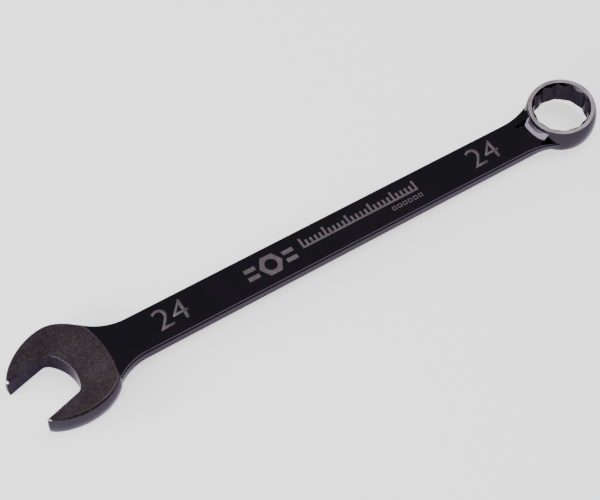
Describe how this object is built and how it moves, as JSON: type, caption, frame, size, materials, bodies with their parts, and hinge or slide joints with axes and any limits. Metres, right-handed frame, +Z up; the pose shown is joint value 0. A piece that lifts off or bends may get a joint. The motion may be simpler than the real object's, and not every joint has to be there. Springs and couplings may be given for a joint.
{
  "type": "combination wrench",
  "caption": "Black nickel combination wrench with an angled open jaw at one end and a tilted twelve-point ring at the other.",
  "frame": {"origin": "below the middle of the wrench's length and width, on the surface that it lies on", "axes": "+X along the shank from the open jaw to the ring, +Z up through the jaw head's thickness, +Y to the left seen from the jaw"},
  "size_m": [0.3097, 0.047, 0.0179],
  "materials": {
    "black_nickel_steel": "black nickel plating over chrome-vanadium steel: mirror-bright on the shank, satin on the jaw head and on the ring's faces"
  },
  "bodies": {
    "root": {"wrench_forging": "black_nickel_steel"}
  },
  "joints": []
}
